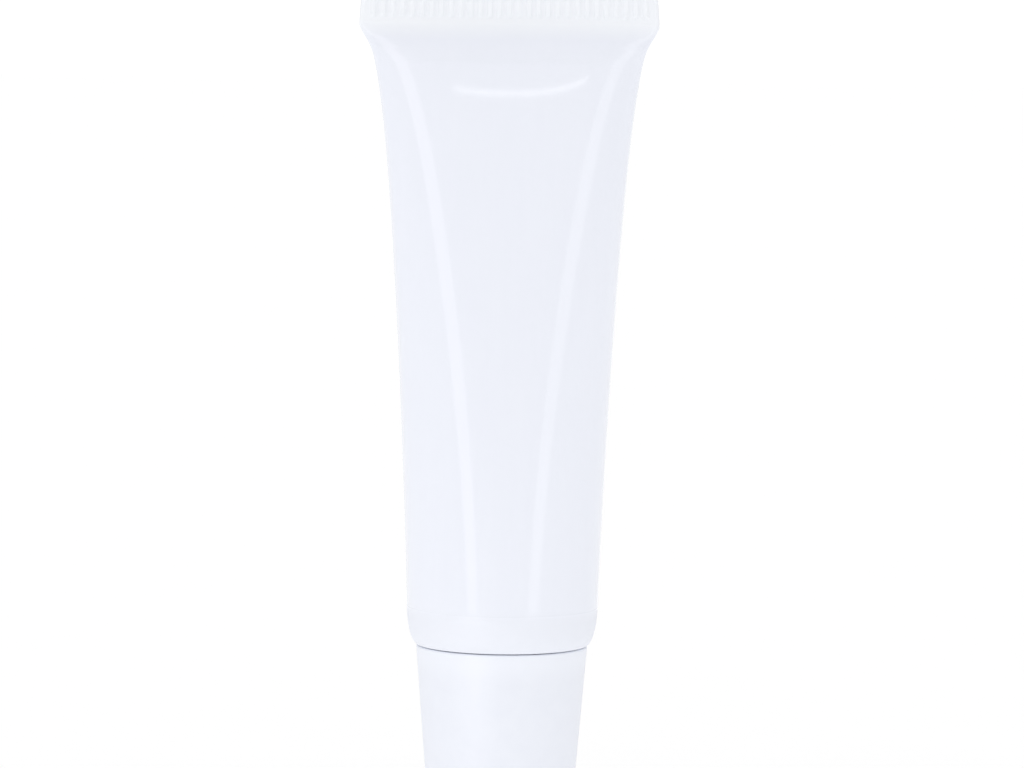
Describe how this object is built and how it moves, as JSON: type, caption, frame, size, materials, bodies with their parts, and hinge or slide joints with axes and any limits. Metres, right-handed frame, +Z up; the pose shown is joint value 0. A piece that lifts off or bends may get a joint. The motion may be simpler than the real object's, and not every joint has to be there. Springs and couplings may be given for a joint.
{
  "type": "lip balm tube",
  "caption": "Plastic squeeze tube for lip balm, round at its shoulder and pressed flat at a ribbed seal, standing on a tapered screw cap.",
  "frame": {"origin": "middle of the cap's closed end, on the surface the tube stands on", "axes": "+Z up along the tube towards its seal, X along the flat seal, the broad front faces -Y"},
  "size_m": [0.0298, 0.019, 0.0873],
  "materials": {
    "sleeve_plastic": "gloss",
    "head_plastic": "satin",
    "balm_fill": "satin",
    "cap_plastic": "satin",
    "liner_foam": "matte"
  },
  "bodies": {
    "cap": {"cap": "cap_plastic"},
    "liner": {"cap_liner": "liner_foam"},
    "tube": {"tube_sleeve": "sleeve_plastic", "tube_head": "head_plastic", "balm": "balm_fill"}
  },
  "joints": [
    {"name": "cap_turn", "type": "hinge", "parent": "cap", "child": "liner", "pos_m": [0, 0, 0.02], "axis": [0, 0, 1], "range_deg": [0, 2880]},
    {"name": "cap_lift", "type": "slide", "parent": "liner", "child": "tube", "axis": [0, 0, 1], "range_m": [0, 0.024]}
  ],
  "couplings": [
    {"joint": "cap_turn", "follows": "cap_lift", "rad_per_m": 2094.4}
  ]
}
